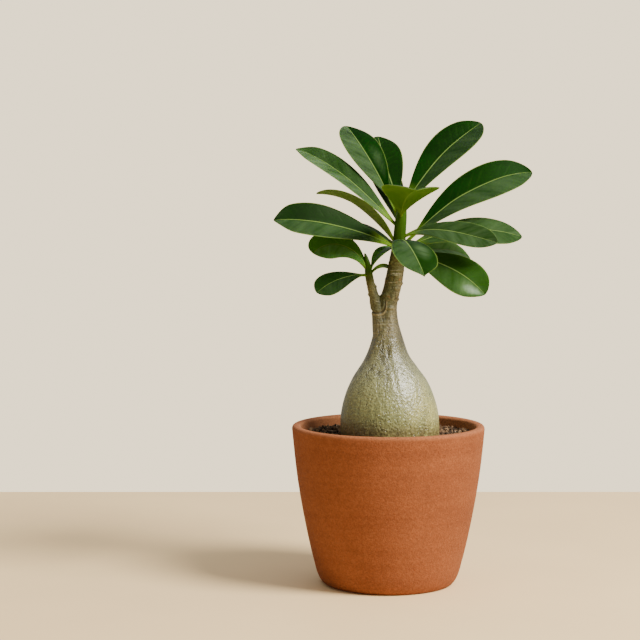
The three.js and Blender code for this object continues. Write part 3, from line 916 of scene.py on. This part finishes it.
def leafFinish(name, under):
    f = Finish(name)
    spot = f.place()
    share = f.add("ShaderNodeUVMap", {"uv_map": "UVMap"})
    along = f.axis(share, "X")
    across = abs(f.axis(share, "Y") * 2 - 1)
    tone = f.stored("leafTone")
    paintedLight = f.stored("leafSheen")
    ribWidth = 0.016 + 0.09 * (1 - along) ** 4
    rib = 1 - (across / ribWidth).rises(0.7, 1.5)
    wobble = f.cloud(spot, 55, 2)
    phase = (along - across * 0.12 + wobble * 0.05) * 15
    comb = phase.work("PINGPONG", phase, 0.5)
    vein = ((1 - comb.rises(0.00, 0.24)) * along.rises(0.14, 0.30) * (1 - across.rises(0.45, 0.90))
            * f.cloud(spot, 90, 2).rises(0.38, 0.62))
    patch = f.cloud(spot, 34, 4, 0.6)
    fine = f.cloud(spot, 640, 3, 0.6)
    margin = across.rises(0.925, 0.985).most(along.rises(0.99, 1.0)) * along.rises(0.10, 0.16)
    stalky = 1 - along.rises(0.07, 0.20)
    if under:
        color = f.mix(leafValues["olive"], leafValues["oliveLight"], patch.rises(0.35, 0.68))
        grown = f.mix(leafValues["underGreen"], leafValues["underLight"], patch.rises(0.35, 0.68))
        color = f.mix(grown, color, tone.rises(0.60, 0.75))
        # painted sheen on the underside's halves
        color = f.mix(color, leafValues["paintedSheenUnder"], paintedLight * (patch * 0.8 + 0.2))
    else:
        color = f.mix(leafValues["green"], leafValues["greenLight"], patch.rises(0.36, 0.66) * 0.55)
        slant = f.add("ShaderNodeCombineXYZ", {}, {0: along * 14 - across * 2.2, 1: across * 0.6})
        band = f.cloud(slant, 1, 2)
        # paler with the tone, partly the leaf's own paler colour and partly painted sheen
        color = f.mix(color, leafValues["greenPale"], tone.least(1) * 0.6)
        # painted sheen on the half that faces up more, as if it reflected the bright sky
        color = f.mix(color, leafValues["paintedSheenGreen"], paintedLight * (band * 1.1 + patch * 0.7).rises(0.35, 1.25))
        # painted glint: pale specks where the painted sheen and the highlight patch go past 1
        color = f.mix(color, leafValues["paintedGlint"], (paintedLight - 1).most(0) * (band * 0.6 + fine * 0.7))
        color = f.mix(color, leafValues["vein"], vein * 0.07)
        nearRib = 1 - (across / (ribWidth * 3)).rises(0.6, 1.6)
        color = f.mix(color, leafValues["ribShadow"], nearRib * 0.35)
    # painted shade where the painted light is below 0, painted light over a leaf in shade where the tone is
    # above 1, and a tone of -1 is a young leaf
    color = f.shade(color, (paintedLight.least(0) + 1) * ((tone - 1).most(0) * (0.8 if under else 4) + 1))
    color = f.mix(color, leafValues["stalk"], stalky.most(1 - tone.rises(-1, -0.5)) * 0.85)
    color = f.mix(color, leafValues["rib"], rib * (0.35 if under else 0.85))
    color = f.mix(color, leafValues["margin"], margin * 0.5)
    color = f.shade(color, fine * 0.36 + 0.83)
    # this relief makes the halves look more folded than they are
    relief = f.bump(across * (-1 if under else 1), leafValues["foldRelief"], 1)
    relief = f.bump(vein * (0.15 if under else -0.15) + wobble * 1.3, 0.0006, 0.30, relief)
    relief = f.bump(fine, 0.00012, 0.25, relief)
    rough = (0.50 if under else 0.30) + 0.12 * patch + 0.08 * fine
    return f.dress({"Base Color": color, "Roughness": rough, "Normal": relief},
                   {"Specular IOR Level": 0.045, "Specular Tint": (0.60, 1.0, 0.42, 1),
                    "Subsurface Weight": 0.35, "Subsurface Radius": (0.7, 1.0, 0.15),
                    "Subsurface Scale": 0.0015})


def through(values, share):
    # the value there, on a smooth change through those at foot, middle and tip
    foot, half, tip = values
    return (foot * (1 - share) * (1 - 2 * share) + 4 * half * share * (1 - share)
            + tip * share * (2 * share - 1))


def bladeOutline(share, rounding):
    # half width of the blade there, as a share of its widest, which lies a little past the middle
    foot = 1.2
    widest = foot / (foot + rounding)
    return (share / widest) ** foot * ((1 - share) / (1 - widest)) ** rounding if 0 < share < 1 else 0


def shareAt(row):
    # how far along the leaf a row lies
    return 1 - (1 - row / leafValues["rows"]) ** leafValues["tipCrowding"]


# one flat solid blade, from -1 to 1 each way, which every leaf starts from
clear()
bpy.ops.mesh.primitive_grid_add(x_subdivisions=leafValues["rows"], y_subdivisions=leafValues["strips"],
                                size=2, calc_uvs=True)
flatBlade = started("flatBlade")
modify(flatBlade, "SOLIDIFY", thickness=2, offset=0)
rowPoints = [[] for row in range(leafValues["rows"] + 1)]
stripPoints = [[] for strip in range(leafValues["strips"] + 1)]
for point in flatBlade.data.vertices:
    rowPoints[round((point.co.x + 1) / 2 * leafValues["rows"])].append(point.index)
    stripPoints[round((point.co.y + 1) / 2 * leafValues["strips"])].append(point.index)
flatBlade.data.materials.append(leafFinish("leaf", False))
flatBlade.data.materials.append(leafFinish("leafUnderside", True))
for face in flatBlade.data.polygons:
    face.material_index = 1 if face.normal.z < -0.5 else 0


def midrib(leaf):
    # the line that the leaf follows, and its roll there, from the middle of the stem to the tip
    rows = barkValues["side" if leaf["side"] else "trunk"]
    spot = Vector((middle(rows, leaf["root"])[0], 0, leaf["root"]))
    spots, rolls = [spot.copy()], [leaf["roll"][0]]
    for row in range(leafValues["rows"] + 1):
        share = shareAt(row)
        heading = math.radians(through(leaf["heading"], share))
        rise = math.radians(through(leaf["rise"], share))
        level = math.cos(rise)
        ahead = Vector((level * math.cos(heading), level * math.sin(heading), math.sin(rise)))
        if row:
            spot += (ahead + last).normalized() * leaf["length"] * (share - lastShare)
            spots.append(spot.copy())
            rolls.append(leaf["roll"][0] + (leaf["roll"][1] - leaf["roll"][0]) * share)
        last, lastShare = ahead, share
    return spots, rolls


def shapedBlade(name, leaf):
    # the flat blade, with its rows drawn out to the leaf's outline and its halves folded up
    blade = bpy.data.objects.new(name, flatBlade.data.copy())
    bpy.context.scene.collection.objects.link(blade)
    only(blade)
    bpy.ops.object.mode_set(mode="EDIT")
    length, width, tipFrom = leaf["length"], leaf["width"], leafValues["tipFrom"]
    stalk = leaf["stalk"] / length
    stalkHalf = min(leafValues["sideStalkHalf" if leaf["side"] else "stalkHalf"], width / 5)
    grown = min(width / 12, 1)                         # narrow young leaves are thinner
    for row, points in enumerate(rowPoints):
        share = shareAt(row)
        half = stalkHalf * (1 - share) ** 0.5
        half += width / 2 * bladeOutline(max(share - stalk, 0) / (1 - stalk), leaf["rounding"])
        half *= 1 - leaf["point"] * max(0, (share - tipFrom) / (1 - tipFrom)) ** 2
        half = max(half, 0.3)
        thick = leafValues["thicknessHalf"] + leafValues["footThicker"] * (1 - share) ** 3
        thick *= 0.5 + 0.5 * grown
        pick(blade, points)
        bpy.ops.transform.resize(value=(1, half * mm, thick * mm), center_override=(0, 0, 0))
        flatPlace = -1 + 2 * row / leafValues["rows"]
        bpy.ops.transform.translate(value=(share * length * mm - flatPlace, 0, 0))
    for strip, points in enumerate(stripPoints):
        side = 2 * strip / leafValues["strips"] - 1
        tilt = (leaf["fold"] - leaf["cup"] * abs(side) / 2) * (1 if side > 0 else -1)
        pick(blade, points)
        thin = 1 - leafValues["edgeThinner"] * abs(side) ** 0.6
        bpy.ops.transform.resize(value=(1, 1, thin), center_override=(0, 0, 0))
        bpy.ops.transform.rotate(value=-math.radians(tilt), orient_axis="X", center_override=(0, 0, 0))
    bpy.ops.object.mode_set(mode="OBJECT")
    return blade


def bent(blade, spots, rolls):
    # bends the flat blade along its midrib line
    line = bpy.data.curves.new("midribLine", "CURVE")
    line.dimensions = "3D"
    line.twist_mode = "Z_UP"
    spline = line.splines.new("POLY")
    spline.points.add(len(spots) - 1)
    for point, spot, roll in zip(spline.points, spots, rolls):
        point.co = (*(spot * mm), 1)
        point.tilt = math.radians(roll)
    path = bpy.data.objects.new("midribLine", line)
    bpy.context.scene.collection.objects.link(path)
    modify(blade, "CURVE", object=path, deform_axis="POS_X")
    bpy.data.objects.remove(path)


def addPaintedLight(blade, amounts, paintedShine):
    # painted sheen: how pale the half that faces up more is painted, as if it reflected the bright sky, how
    # pale the other half is painted, painted shade where a value is below 0, and one soft painted highlight
    # patch
    points = blade.data.vertices
    alongs, places = [0.5] * len(points), [0.5] * len(points)
    for corner, spot in zip(blade.data.loops, blade.data.uv_layers["UVMap"].data):
        alongs[corner.vertex_index], places[corner.vertex_index] = spot.uv
    low = sum(abs(point.normal.z) for point, place in zip(points, places) if place < 0.5)
    high = sum(abs(point.normal.z) for point, place in zip(points, places) if place > 0.5)
    first, second = amounts if low > high else amounts[::-1]
    shineAlong, shineAcross, shineAmount = paintedShine
    paintedLight = blade.data.attributes.new("leafSheen", "FLOAT", "POINT")
    for value, along, place in zip(paintedLight.data, alongs, places):
        share = min(max((place - 0.47) / 0.06, 0), 1)
        # painted highlight: one soft pale patch on the blade
        patch = bell(along, shineAlong, 0.14) * bell(place, shineAcross, 0.16)
        value.value = first + (second - first) * share + shineAmount * patch


noise.seed_set(leafValues["waveSeed"])                 # else each run would draw other waves
for name, own in leaves.items():
    leaf = {**usualLeaf, **own}
    blade = shapedBlade(name.title().replace("_", ""), leaf)
    modify(blade, "SUBSURF", levels=1, render_levels=1)
    bent(blade, *midrib(leaf))
    for point in blade.data.vertices:
        point.co += noise.noise_vector(point.co * 36) * leafValues["wave"] * mm
    tone = blade.data.attributes.new("leafTone", "FLOAT", "POINT")
    for value in tone.data:
        value.value = leaf["tone"]
    addPaintedLight(blade, leaf["paintedLight"], leaf["paintedShine"])
    done(blade, 60)
    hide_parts(name)
bpy.data.objects.remove(flatBlade)
